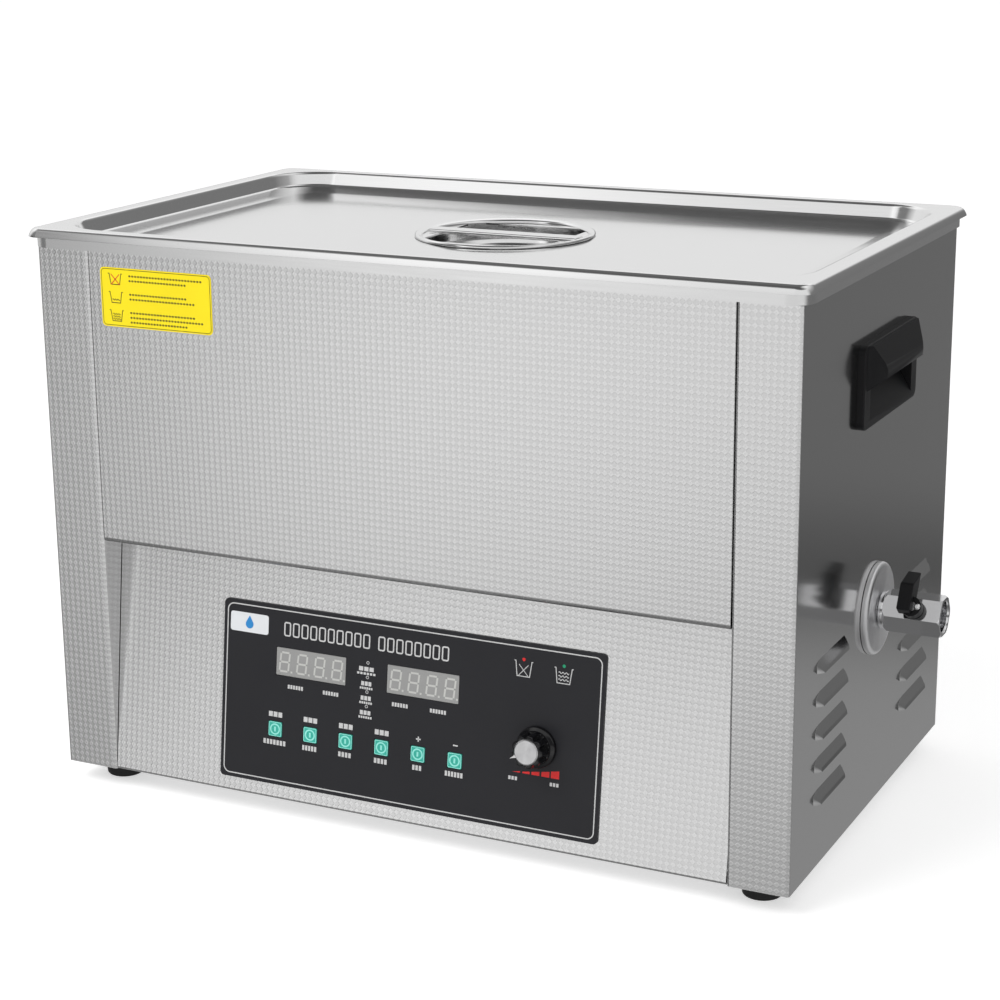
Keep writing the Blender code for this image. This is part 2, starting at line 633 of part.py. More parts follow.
def centre_on_floor():
    """Move the machine so that its whole box is centred on X and Y and stands on z = 0."""
    bpy.context.view_layer.update()
    depsgraph = bpy.context.evaluated_depsgraph_get()
    corners = []
    for thing in parts.objects:
        solid = thing.evaluated_get(depsgraph)
        corners += [solid.matrix_world @ Vector(corner) for corner in solid.bound_box]
    low = Vector([min(corner[axis] for corner in corners) for axis in range(3)])
    high = Vector([max(corner[axis] for corner in corners) for axis in range(3)])
    machine.location = (-(low.x + high.x) / 2, -(low.y + high.y) / 2, -low.z)
    print("body frame moved by", [round(value, 6) for value in machine.location])


for thing in list(bpy.data.objects):
    bpy.data.objects.remove(thing)
parts = collection("ultrasonic_cleaner")
cutters = collection("cutters")
machine = bpy.data.objects.new("machine", None)
parts.objects.link(machine)

PANEL = facing(at(0, -BODY_Y + 0.2, 0), (0, -math.cos(SLOPE), math.sin(SLOPE)), (1, 0, 0))
VALVE_OUT = (0, -math.cos(math.radians(30)), math.sin(math.radians(30)))
VALVE_UP = (0, math.sin(math.radians(30)), math.cos(math.radians(30)))

casing()
rear_wall()
feet()
tank()
lid()
grip("left_grip", -1)
grip("right_grip", 1)
controls()
drain()
fan()
rear_fittings()
electronics()
centre_on_floor()
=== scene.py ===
"""Looks of the ultrasonic cleaner: finer sheet metal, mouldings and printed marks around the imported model.

Lengths are millimetres in the casing's own frame (X right, front facing -Y, z = 0 at its underside), and
MM turns them into metres. The frame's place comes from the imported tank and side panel.
"""

import math

import bmesh
import bpy
from mathutils import Matrix, Vector


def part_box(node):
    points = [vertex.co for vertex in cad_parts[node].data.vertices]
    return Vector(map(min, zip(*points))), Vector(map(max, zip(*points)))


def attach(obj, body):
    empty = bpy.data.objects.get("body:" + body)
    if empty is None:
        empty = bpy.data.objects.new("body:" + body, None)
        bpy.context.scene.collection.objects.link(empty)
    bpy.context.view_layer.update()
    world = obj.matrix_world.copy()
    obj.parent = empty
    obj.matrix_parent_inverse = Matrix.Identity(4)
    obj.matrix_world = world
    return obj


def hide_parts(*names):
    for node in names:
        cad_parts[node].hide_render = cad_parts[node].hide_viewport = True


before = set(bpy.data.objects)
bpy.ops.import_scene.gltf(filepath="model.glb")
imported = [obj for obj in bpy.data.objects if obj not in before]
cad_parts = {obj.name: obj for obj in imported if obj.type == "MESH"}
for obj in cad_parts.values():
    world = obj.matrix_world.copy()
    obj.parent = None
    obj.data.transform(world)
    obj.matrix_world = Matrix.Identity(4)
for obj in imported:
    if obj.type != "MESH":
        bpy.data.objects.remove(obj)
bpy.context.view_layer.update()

MM = 0.001
right_low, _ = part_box("right_side_panel")
tank_low, tank_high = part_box("tank")
BODY = Matrix.Translation(
    ((tank_low.x + tank_high.x) / 2, (tank_low.y + tank_high.y) / 2, right_low.z)
)

# The casing: half its width and depth, and its sheet
BODY_X, BODY_Y, SHEET = 261.5, 158.5, 1.0
# The top of its panels, the inner edge of a front post, and the underside of the feet
PANEL_TOP, POST_X, UNDERSIDE = 357.6, 221.8, -14.0
# The upper panel's lower edge, and how far back the folds behind the front go
RECESS_Z, FOLD_Y = 162.0, -137.0
# The foot of the slanted panel, its slope, and the pitch of the embossed bosses
SLANT_Y, SLOPE, GRID = 0.2 - BODY_Y, math.atan(0.127), 4.17
# The louvres of a side wall, each as (y, z)
LOUVRES = [(column * 89.0, 132.0 - 21.2 * row) for column in (-1, 1) for row in range(5)]
# Places on the slanted panel, across it and up it
KNOB_SPOT, BUSHING = (92.8, 66.1), 4.6
KEY_X, KEY_PITCH, KEY_Y = -96.5, 26.52, 48.0
DISPLAY_Y = 94.0
FILM_CENTRE = (-0.75, 70.75)
# The middle of the grips, and of the drain
GRIP_Z = 288.75
DRAIN_Y, DRAIN_Z = -3.5, 135.6


def facing(base, z_axis, x_axis):
    """A frame at the same place, with its Z and X axes turned to the directions given."""
    z = Vector(z_axis).normalized()
    x = Vector(x_axis).normalized()
    return base @ Matrix((x, z.cross(x), z)).transposed().to_4x4()


def at(x, y, z, base=BODY):
    return base @ Matrix.Translation(Vector((x, y, z)) * MM)


SLANT = facing(at(0, SLANT_Y, 0), (0, -math.cos(SLOPE), math.sin(SLOPE)), (1, 0, 0))
FRONT = facing(at(0, -BODY_Y, 0), (0, -1, 0), (1, 0, 0))
SIDEWAYS = facing(BODY, (1, 0, 0), (0, 1, 0))
DRAIN = facing(at(0, DRAIN_Y, DRAIN_Z), (1, 0, 0), (0, 1, 0))


# ---------------------------------------------------------------- materials

def new_material(name, colour, metallic=0.0, roughness=0.5):
    material = bpy.data.materials.new(name)
    material.use_nodes = True
    shader = material.node_tree.nodes["Principled BSDF"]
    shader.inputs["Base Color"].default_value = (*colour, 1.0)
    shader.inputs["Metallic"].default_value = metallic
    shader.inputs["Roughness"].default_value = roughness
    return material


def node(material, kind, **inputs):
    made = material.node_tree.nodes.new(kind)
    for name, value in inputs.items():
        made.inputs[name.replace("_", " ")].default_value = value
    return made


def wire(material, source, target):
    material.node_tree.links.new(source, target)


def maths(material, operation, first, second=None):
    """A Math node whose inputs are sockets or numbers, and its result."""
    made = material.node_tree.nodes.new("ShaderNodeMath")
    made.operation = operation
    for index, value in enumerate((first, second)):
        if value is None:
            continue
        if isinstance(value, (int, float)):
            made.inputs[index].default_value = value
        else:
            wire(material, value, made.inputs[index])
    return made.outputs[0]


def blend_colours(material, factor, low, high):
    mix = material.node_tree.nodes.new("ShaderNodeMix")
    mix.data_type = "RGBA"
    mix.inputs["A"].default_value = (*low, 1.0)
    mix.inputs["B"].default_value = (*high, 1.0)
    wire(material, factor, mix.inputs["Factor"])
    return mix.outputs["Result"]


def place_of(material):
    return node(material, "ShaderNodeTexCoord").outputs["Object"]


def noise(material, scale, detail, stretch=None):
    """Noise in object space, with features about 1/scale metres across.

    stretch multiplies the scale along each axis.
    """
    made = node(material, "ShaderNodeTexNoise", Scale=scale, Detail=detail)
    source = place_of(material)
    if stretch:
        mapping = node(material, "ShaderNodeMapping")
        mapping.inputs["Scale"].default_value = stretch
        wire(material, source, mapping.inputs["Vector"])
        source = mapping.outputs["Vector"]
    wire(material, source, made.inputs["Vector"])
    return made.outputs["Fac"]


def spread(material, source, low, high):
    made = node(material, "ShaderNodeMapRange")
    made.inputs["To Min"].default_value = low
    made.inputs["To Max"].default_value = high
    wire(material, source, made.inputs["Value"])
    return made.outputs["Result"]


def bump(material, height, distance, strength):
    made = node(material, "ShaderNodeBump", Strength=strength, Distance=distance)
    wire(material, height, made.inputs["Height"])
    shader = material.node_tree.nodes["Principled BSDF"]
    wire(material, made.outputs["Normal"], shader.inputs["Normal"])


def rough(material, source, low, high):
    shader = material.node_tree.nodes["Principled BSDF"]
    wire(material, spread(material, source, low, high), shader.inputs["Roughness"])


def tint(material, factor, low, high):
    shader = material.node_tree.nodes["Principled BSDF"]
    wire(material, blend_colours(material, factor, low, high), shader.inputs["Base Color"])


def between(material, source, start, end):
    """A smooth step of the source: 0 at the start value, 1 at the end value."""
    step = node(material, "ShaderNodeMapRange")
    step.interpolation_type = "SMOOTHSTEP"
    step.inputs["From Min"].default_value = start
    step.inputs["From Max"].default_value = end
    wire(material, source, step.inputs["Value"])
    return step.outputs["Result"]


def embossed_steel():
    """Stainless sheet rolled with rows of small round bosses, each slightly dished. Its colour has painted
    light in it: a painted highlight on the boss rims, and painted shade in the dished centres and the gaps
    between bosses.
    """
    material = new_material("embossed_steel", (0.8, 0.8, 0.8), 1.0, 0.25)
    parted = node(material, "ShaderNodeSeparateXYZ")
    wire(material, place_of(material), parted.inputs[0])
    crests = []
    for axis in ("X", "Z"):
        turn = maths(material, "MULTIPLY", parted.outputs[axis], 2 * math.pi / (GRID * MM))
        crests.append(maths(material, "COSINE", turn))
    crest = maths(material, "ADD", *crests)
    boss = between(material, crest, -0.4, 0.6)
    dish = between(material, crest, 1.3, 2.0)
    relief = maths(material, "SUBTRACT", boss, maths(material, "MULTIPLY", dish, 0.3))
    grain = noise(material, 900.0, 2.0)
    height = maths(material, "ADD", relief, maths(material, "MULTIPLY", grain, 0.12))
    # Painted highlight and painted shade: the colour follows the relief, light on the raised rims and dark
    # in the dishes and gaps.
    tint(material, relief, (0.77, 0.77, 0.77), (0.86, 0.86, 0.86))
    rough(material, grain, 0.20, 0.30)
    bump(material, height, 0.00007, 0.5)
    return material


def polished_steel(name, colour, low, high):
    """Bright sheet with faint rolling lines and the slight unevenness of thin metal."""
    material = new_material(name, colour, 1.0, (low + high) / 2)
    lines = noise(material, 60.0, 4.0, (1.0, 1.0, 26.0))
    tint(material, lines, tuple(c * 0.94 for c in colour), colour)
    rough(material, noise(material, 220.0, 3.0, (1.0, 1.0, 9.0)), low, high)
    bump(material, noise(material, 9.0, 1.0), 0.00002, 0.35)
    return material


def brushed_steel(name, colour, low, high):
    """Satin sheet, brushed along X."""
    material = new_material(name, colour, 1.0, (low + high) / 2)
    hair = noise(material, 700.0, 3.0, (0.03, 1.0, 1.0))
    tint(material, hair, tuple(c * 0.93 for c in colour), colour)
    rough(material, hair, low, high)
    bump(material, hair, 0.00001, 0.3)
    return material


def moulded_plastic(name, colour, low, high, grain=0.00003, gloss=0.3):
    material = new_material(name, colour, 0.0, (low + high) / 2)
    material.node_tree.nodes["Principled BSDF"].inputs["Specular IOR Level"].default_value = gloss
    fine = noise(material, 1600.0, 2.0)
    tint(material, noise(material, 35.0, 2.0), tuple(c * 0.88 for c in colour), colour)
    rough(material, fine, low, high)
    bump(material, fine, grain, 0.5)
    return material


def turned_metal(name, colour, base, low, high):
    """Spun metal: a shine that is drawn out along rings about the base's Z axis."""
    material = new_material(name, colour, 1.0, 0.3)
    shader = material.node_tree.nodes["Principled BSDF"]
    shader.inputs["Anisotropic"].default_value = 0.85
    offset = node(material, "ShaderNodeVectorMath")
    offset.operation = "SUBTRACT"
    offset.inputs[1].default_value = tuple(base.translation)
    wire(material, place_of(material), offset.inputs[0])
    around = node(material, "ShaderNodeVectorMath")
    around.operation = "CROSS_PRODUCT"
    around.inputs[1].default_value = tuple(base.to_3x3().col[2])
    wire(material, offset.outputs["Vector"], around.inputs[0])
    wire(material, around.outputs["Vector"], shader.inputs["Tangent"])
    tint(material, noise(material, 300.0, 2.0), tuple(c * 0.95 for c in colour), colour)
    rough(material, noise(material, 500.0, 2.0), low, high)
    return material


EMBOSSED = embossed_steel()
SIDE = polished_steel("polished_side", (0.62, 0.62, 0.62), 0.10, 0.16)
LID = brushed_steel("lid_steel", (0.86, 0.86, 0.86), 0.08, 0.14)
TANK = brushed_steel("tank_steel", (0.86, 0.86, 0.86), 0.18, 0.28)
PLATE = brushed_steel("plain_steel", (0.6, 0.6, 0.61), 0.28, 0.4)
CHROME = polished_steel("chromed_brass", (0.74, 0.74, 0.75), 0.05, 0.1)
STEEL = brushed_steel("plain_bright_steel", (0.55, 0.55, 0.56), 0.22, 0.34)
ALUMINIUM = brushed_steel("aluminium", (0.75, 0.76, 0.78), 0.3, 0.45)
BRASS = polished_steel("brass", (0.72, 0.52, 0.25), 0.2, 0.3)
BLACK = moulded_plastic("black_plastic", (0.011, 0.011, 0.012), 0.36, 0.46, gloss=0.16)
GLOSS = moulded_plastic("gloss_black", (0.006, 0.006, 0.007), 0.05, 0.09, 0.000003, 0.5)
RUBBER = moulded_plastic("black_rubber", (0.018, 0.018, 0.018), 0.6, 0.75, 0.00006)
FILM = moulded_plastic("charcoal_film", (0.0225, 0.0225, 0.026), 0.36, 0.44, 0.000008, 0.25)
WINDOW = moulded_plastic("display_window", (0.33, 0.33, 0.325), 0.22, 0.3, 0.000004)
SEGMENT = moulded_plastic("display_segment", (0.56, 0.56, 0.54), 0.3, 0.4, 0.000004)
TEAL = moulded_plastic("teal_key", (0.045, 0.46, 0.36), 0.35, 0.45, 0.00001)
MINT = moulded_plastic("mint_print", (0.32, 0.85, 0.75), 0.4, 0.5, 0.000005)
WHITE = moulded_plastic("white_print", (0.62, 0.62, 0.62), 0.4, 0.5, 0.000005)
PALE = moulded_plastic("pale_badge", (0.78, 0.80, 0.82), 0.3, 0.4, 0.000005)
BLUE = moulded_plastic("blue_print", (0.03, 0.26, 0.62), 0.3, 0.4, 0.000005)
RED = moulded_plastic("red_print", (0.74, 0.025, 0.025), 0.35, 0.45, 0.000005)
GREEN = moulded_plastic("green_print", (0.02, 0.34, 0.17), 0.35, 0.45, 0.000005)
YELLOW = moulded_plastic("yellow_label", (0.98, 0.79, 0.006), 0.35, 0.45, 0.00001)
INK = moulded_plastic("dark_ink", (0.05, 0.045, 0.02), 0.45, 0.55, 0.000005)
BOARD = moulded_plastic("circuit_board", (0.015, 0.13, 0.05), 0.4, 0.5)
HEATER = moulded_plastic("heater_pad", (0.42, 0.08, 0.03), 0.5, 0.65, 0.00008)


# ---------------------------------------------------------------- building pieces

def place(name, shape, material, base=BODY):
    """Turn a bmesh drawn in millimetres into an object whose mesh is in the shared frame."""
    bmesh.ops.transform(shape, matrix=base @ Matrix.Scale(MM, 4), verts=shape.verts)
    mesh = bpy.data.meshes.new(name)
    shape.to_mesh(mesh)
    shape.free()
    thing = bpy.data.objects.new(name, mesh)
    bpy.context.scene.collection.objects.link(thing)
    if material:
        mesh.materials.append(material)
    return thing


def rounded(thing, width, segments, angle):
    bevel = thing.modifiers.new("Round", "BEVEL")
    bevel.width = width * MM
    bevel.segments = segments
    bevel.limit_method = "ANGLE"
    bevel.angle_limit = math.radians(angle)
    bevel.harden_normals = False


def solidify(thing):
    """Thicken a surface inwards to the casing's sheet."""
    shell = thing.modifiers.new("Sheet", "SOLIDIFY")
    shell.thickness = SHEET * MM
    shell.offset = -1.0
    shell.use_even_offset = True


def apply_modifiers(thing):
    bpy.context.view_layer.update()
    depsgraph = bpy.context.evaluated_depsgraph_get()
    mesh = bpy.data.meshes.new_from_object(thing.evaluated_get(depsgraph), depsgraph=depsgraph)
    old = thing.data
    thing.modifiers.clear()
    thing.data = mesh
    bpy.data.meshes.remove(old)


def bake(thing, sharp=35):
    """Apply the modifiers, then shade smooth up to the angle given, with wide faces kept flat."""
    apply_modifiers(thing)
    thing.data.shade_smooth()
    thing.data.set_sharp_from_angle(angle=math.radians(sharp))
    flat = thing.modifiers.new("Flat", "WEIGHTED_NORMAL")
    flat.weight = 80
    flat.keep_sharp = True
    apply_modifiers(thing)


def combine(thing, operation, *tools):
    for tool in tools:
        boolean = thing.modifiers.new(tool.name, "BOOLEAN")
        boolean.operation = operation
        boolean.solver = "EXACT"
        boolean.object = tool


def carve(thing, cuts, welds=(), sharp=35):
    """Weld and cut with the tools given, apply it, and remove the tools."""
    combine(thing, "UNION", *welds)
    combine(thing, "DIFFERENCE", *cuts)
    bake(thing, sharp)
    for tool in (*cuts, *welds):
        bpy.data.objects.remove(tool)


def settle(thing, body, slot, *nodes, sharp=35):
    """Finish a piece: smooth it, fix it to its body, and hide the imported nodes that it stands for. slot,
    the name of its finish, is not used.
    """
    bake(thing, sharp)
    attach(thing, body)
    if nodes:
        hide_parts(*nodes)


def box(name, low, high, base=BODY):
    shape = bmesh.new()
    bmesh.ops.create_cube(shape, size=1.0)
    low, high = Vector(low), Vector(high)
    bmesh.ops.scale(shape, vec=high - low, verts=shape.verts)
    bmesh.ops.translate(shape, vec=(low + high) / 2, verts=shape.verts)
    return place(name, shape, None, base)


def span(side, near, far, y0, y1, z0, z1):
    """The low and high corners of a box beside one side wall."""
    low, high = sorted((side * near, side * far))
    return (low, y0, z0), (high, y1, z1)


def cylinder(name, radius, low, high, material=None, base=BODY, sides=64):
    shape = bmesh.new()
    bmesh.ops.create_cone(
        shape, cap_ends=True, segments=sides, radius1=radius, radius2=radius, depth=high - low
    )
    bmesh.ops.translate(shape, vec=(0, 0, (low + high) / 2), verts=shape.verts)
    return place(name, shape, material, base)


def turned(name, profile, material, base=BODY, sides=96, lobes=None):
    """A surface of rings about Z, each given as (radius, height).

    lobes is (count, depth, lowest height, highest height) of the flutes round it.
    """
    shape = bmesh.new()
    loops = []
    for radius, height in profile:
        if radius == 0:
            loops.append([shape.verts.new((0, 0, height))])
            continue
        loop = []
        for side in range(sides):
            angle = 2 * math.pi * side / sides
            reach = radius
            if lobes and lobes[2] <= height <= lobes[3]:
                reach -= lobes[1] * (0.5 - 0.5 * math.cos(lobes[0] * angle)) ** 2
            loop.append(shape.verts.new((reach * math.cos(angle), reach * math.sin(angle), height)))
        loops.append(loop)
    for upper, lower in zip(loops, loops[1:]):
        for i in range(sides):
            j = (i + 1) % sides
            above = [upper[i % len(upper)], upper[j % len(upper)]]
            below = [lower[i % len(lower)], lower[j % len(lower)]]
            unique = list(dict.fromkeys([above[0], *below, above[1]]))
            if len(unique) > 2:
                shape.faces.new(unique)
    bmesh.ops.recalc_face_normals(shape, faces=shape.faces)
    return place(name, shape, material, base)


def arc(centre, radius, start, end, steps):
    """Points of an arc in degrees."""
    turns = [math.radians(start + (end - start) * step / steps) for step in range(steps + 1)]
    return [(centre[0] + radius * math.cos(turn), centre[1] + radius * math.sin(turn)) for turn in turns]


def rounded_rectangle(half_x, half_y, corner, segments, centre=(0, 0)):
    outline = []
    for quarter, (sx, sy) in enumerate(((1, 1), (-1, 1), (-1, -1), (1, -1))):
        middle = (centre[0] + sx * (half_x - corner), centre[1] + sy * (half_y - corner))
        outline += arc(middle, corner, 90 * quarter, 90 * quarter + 90, segments)
    return outline


def plate(name, outlines, low, high, material, base):
    """Flat pieces, one for each outline, in one object from low to high along Z."""
    shape = bmesh.new()
    for outline in outlines:
        face = shape.faces.new([shape.verts.new((x, y, low)) for x, y in outline])
        raised = bmesh.ops.extrude_face_region(shape, geom=[face])
        moved = [v for v in raised["geom"] if isinstance(v, bmesh.types.BMVert)]
        bmesh.ops.translate(shape, vec=(0, 0, high - low), verts=moved)
    bmesh.ops.recalc_face_normals(shape, faces=shape.faces)
    return place(name, shape, material, base)


def bar(x0, x1, y0, y1):
    return [(x0, y0), (x1, y0), (x1, y1), (x0, y1)]


def stroke(points, width, closed=False):
    """The outline pieces of a drawn line: one mitred quad for each of its steps."""
    points = [Vector(point) for point in points]
    count = len(points)
    sides = []
    for i in range(count):
        before = points[i - 1] if i or closed else None
        after = points[(i + 1) % count] if i + 1 < count or closed else None
        one = (points[i] - before).normalized() if before is not None else None
        two = (after - points[i]).normalized() if after is not None else None
        way = (one + two).normalized() if one is not None and two is not None else (one or two)
        across = Vector((-way.y, way.x))
        lengthen = 1.0 / max(0.4, across.dot(Vector((-(one or two).y, (one or two).x))))
        sides.append((points[i] + across * width / 2 * lengthen, points[i] - across * width / 2 * lengthen))
    quads = []
    for i in range(count if closed else count - 1):
        (a, b), (c, d) = sides[i], sides[(i + 1) % count]
        quads.append([tuple(b), tuple(d), tuple(c), tuple(a)])
    return quads


def words(x0, x1, y0, y1, count, gap=0.28):
    """Plain blocks in place of a word: count of them from x0 to x1."""
    pitch = (x1 - x0) / count
    return [bar(x0 + pitch * i, x0 + pitch * (i + 1 - gap), y0, y1) for i in range(count)]


def folded(name, line, low, high, material, base=BODY):
    """A folded sheet: a line with its outside on the right hand, drawn out along Z."""
    shape = bmesh.new()
    lower = [shape.verts.new((x, y, low)) for x, y in line]
    upper = [shape.verts.new((x, y, high)) for x, y in line]
    for i in range(len(line) - 1):
        shape.faces.new((lower[i], lower[i + 1], upper[i + 1], upper[i]))
    thing = place(name, shape, material, base)
    solidify(thing)
    return thing


def fillet(corners, radius, segments=8):
    """The same open line with each inner corner replaced by an arc."""
    line = [Vector(corners[0])]
    for before, here, after in zip(corners, corners[1:], corners[2:]):
        here = Vector(here)
        back = (Vector(before) - here).normalized()
        ahead = (Vector(after) - here).normalized()
        half = back.angle(ahead) / 2
        centre = here + (back + ahead).normalized() * (radius / math.sin(half))
        start = here + back * (radius / math.tan(half)) - centre
        sweep = (math.pi - 2 * half) * math.copysign(1, -back.x * ahead.y + back.y * ahead.x)
        for step in range(segments + 1):
            line.append(centre + Matrix.Rotation(sweep * step / segments, 2) @ start)
    line.append(Vector(corners[-1]))
    return line


def lofted(name, loops, material, closed_end=True):
    """Faces between outlines of equal length, each a list of (x, y, z), seen from the outside."""
    shape = bmesh.new()
    rows = [[shape.verts.new(point) for point in loop] for loop in loops]
    for lower, upper in zip(rows, rows[1:]):
        for i in range(len(lower)):
            j = (i + 1) % len(lower)
            shape.faces.new((lower[i], lower[j], upper[j], upper[i]))
    if closed_end:
        shape.faces.new(rows[-1])
    return place(name, shape, material)


def hull(name, points, base=BODY, material=None):
    shape = bmesh.new()
    corners = [shape.verts.new(point) for point in points]
    made = bmesh.ops.convex_hull(shape, input=corners)
    spare = [v for v in made["geom_interior"] + made["geom_unused"] if isinstance(v, bmesh.types.BMVert)]
    bmesh.ops.delete(shape, geom=list(set(spare)), context="VERTS")
    return place(name, shape, material, base)


# ---------------------------------------------------------------- casing

def casing():
    half = POST_X - 0.4
    line = fillet([(-BODY_Y, PANEL_TOP), (-BODY_Y, RECESS_Z), (FOLD_Y, RECESS_Z)], 4.0, 10)
    upper = folded("front_panel_upper", line, -half, half, EMBOSSED, SIDEWAYS)
    rounded(upper, 0.45, 3, 60)
    settle(upper, "casing", "stainless_sheet", "upper_front_panel")
    top = 161.6
    line = [(SLANT_Y + top * math.tan(SLOPE), top), (SLANT_Y, 0.0), (SLANT_Y + 18.0, 0.0)]
    lower = folded("front_panel_lower", fillet(line, 2.0, 6), -half, half, EMBOSSED, SIDEWAYS)
    cuts = [box("display_room", (-99, 83, -5), (38.5, 105, 5), base=SLANT)]
    cuts.append(box("key_room", (-105, 41, -5), (45, 55, 5), base=SLANT))
    cuts.append(cylinder("bushing_room", BUSHING, -5, 5, base=at(*KNOB_SPOT, 0, SLANT)))
    carve(lower, cuts)
    settle(lower, "casing", "stainless_sheet", "lower_front_panel")
    side_wall("left", -1)
    side_wall("right", 1)


def side_wall(hand, side):
    """One polished wall with its embossed front post, from the post's inner fold to the rear fold."""
    line = [(POST_X, FOLD_Y), (POST_X, -BODY_Y), (BODY_X, -BODY_Y), (BODY_X, BODY_Y)]
    line.append((BODY_X - 20, BODY_Y))
    if side < 0:
        line = [(-x, y) for x, y in reversed(line)]
    wall = folded(hand + "_wall", fillet(line, 2.0), 0.0, PANEL_TOP, SIDE)
    cuts = []
    for y, z in LOUVRES:
        slot = span(side, BODY_X - 3, BODY_X + 3, y - 24, y + 24, z - 4.3, z + 1.5)
        cuts.append(box("slot", *slot))
    cuts.append(box("grip_room", *span(side, BODY_X - 4, BODY_X + 4, -46, 46, 267, 311.5)))
    room = span(side, POST_X - 1, POST_X + 2, 4 - BODY_Y, -132, RECESS_Z + 1.5, PANEL_TOP + 5)
    cuts.append(box("tank_room", *room))
    if side > 0:
        cuts.append(cylinder("drain_room", 11.0, 250, 270, base=DRAIN))
    carve(wall, cuts)
    wall.data.materials.append(EMBOSSED)
    for face in wall.data.polygons:
        turned_forward = abs(face.normal.y) > 0.3
        in_front = face.center.y < BODY.translation.y - 100 * MM
        if turned_forward and in_front:
            face.material_index = 1
    settle(wall, "casing", "stainless_sheet", hand + "_side_panel")
    louvres(hand, side)


def louvres(hand, side):
    """Pressed hoods over the slots, with slanted ends, each leaning out to an open lower edge."""
    hoods = None
    for y, z in LOUVRES:
        outer, inner = hood(side, y, z, 0.0), hood(side, y, z, 0.8)
        rounded(outer, 0.8, 3, 20)
        carve(outer, [inner], sharp=24)
        if hoods is None:
            hoods = outer
            continue
        joined = bmesh.new()
        joined.from_mesh(hoods.data)
        joined.from_mesh(outer.data)
        joined.to_mesh(hoods.data)
        joined.free()
        bpy.data.objects.remove(outer)
    hoods.name = hand + "_louvres"
    settle(hoods, "casing", "stainless_sheet", sharp=24)


def hood(side, y, z, inset):
    """The hull of one hood; an inset one is the room inside it, open below and behind."""
    half, proud, root = 28.0 - inset * 1.6, 3.6 - inset, BODY_X - 0.05 - inset * 1.5
    top, bottom = z + 4.25 - inset * 1.2, z - 4.25 - inset * 1.5
    points = []
    for sign in (-1, 1):
        for x in (root, BODY_X + 0.02):
            points.append((side * x, y + sign * (half - 4.5), top))
            points.append((side * x, y + sign * half, top - 3.4))
            points.append((side * x, y + sign * half, bottom))
        points.append((side * (BODY_X + proud), y + sign * (half - 4.0), bottom))
        points.append((side * (BODY_X + proud * 0.9), y + sign * (half - 4.4), z - 1.5))
    return hull("hood", points, BODY, SIDE if not inset else None)


def sticker():
    """A yellow label with three plain pictograms, and blocks where its words would be."""
    left, right, low, high = -212.6, -128.5, 309.5, 348.0
    row_pitch, line_pitch, letter = 11.9, 3.1, 2.2
    centre = ((left + right) / 2, (low + high) / 2)
    half = ((right - left) / 2, (high - low) / 2)
    outline = rounded_rectangle(*half, 3.0, 8, centre)
    settle(plate("label_plate", [outline], 0.05, 0.3, YELLOW, FRONT), "casing", "overlay_film")
    rim = rounded_rectangle(half[0] - 1.0, half[1] - 1.0, 2.4, 8, centre)
    marks = stroke(rim, 0.35, True)
    crosses = []
    for row in range(3):
        middle = (left + 11.5, high - 7.4 - row_pitch * row)
        marks += tub(middle, 9.0, 7.0, 0.5)
        x0, y0 = middle
        if row == 0:
            crosses += stroke([(x0 - 3.2, y0 - 3.6), (x0 + 3.2, y0 + 3.2)], 0.55)
            crosses += stroke([(x0 - 3.2, y0 + 3.2), (x0 + 3.2, y0 - 3.6)], 0.55)
        for level in ((), (-1.5,), (-2.2, -0.6, 1.0))[row]:
            marks += stroke(wave(x0 - 2.8, x0 + 2.8, y0 + level, 0.5), 0.4)
        for number in range((2, 2, 3)[row]):
            top = high - 4.3 - row_pitch * row - line_pitch * number
            width = (56.0, 44.0, 50.0)[(number + row) % 3]
            start = left + 22.0
            marks += words(start, start + width, top - 1.2, top, int(width / letter), 0.42)
    settle(plate("label_marks", marks, 0.28, 0.36, INK, FRONT), "casing", "overlay_film")
    settle(plate("label_cross", crosses, 0.3, 0.38, RED, FRONT), "casing", "overlay_film")


def tub(middle, width, height, line):
    """An open tub drawn with a lip on each side."""
    x, y = middle
    half, foot, lip = width / 2, width / 2 - 1.2, 0.9
    top, bottom = y + height / 2, y - height / 2
    points = [(x - half - lip, top), (x - half, top), (x - foot, bottom)]
    points += [(x + foot, bottom), (x + half, top), (x + half + lip, top)]
    return stroke(points, line)


def wave(x0, x1, y, rise):
    """Three ripples from x0 to x1."""
    steps = 18
    points = []
    for i in range(steps + 1):
        points.append((x0 + (x1 - x0) * i / steps, y + rise * math.sin(i / steps * 6 * math.pi)))
    return points


# ---------------------------------------------------------------- lid and tank

def ring(half_x, half_y, corner, z):
    return [(x, y, z) for x, y in rounded_rectangle(half_x, half_y, corner, 12)]


def quarter(radius, steps):
    """How far a quarter round is from each of the two lines that it joins, step by step."""
    angles = [math.radians(90 * step / steps) for step in range(steps + 1)]
    return [(radius * (1 - math.cos(turn)), radius * (1 - math.sin(turn))) for turn in angles]


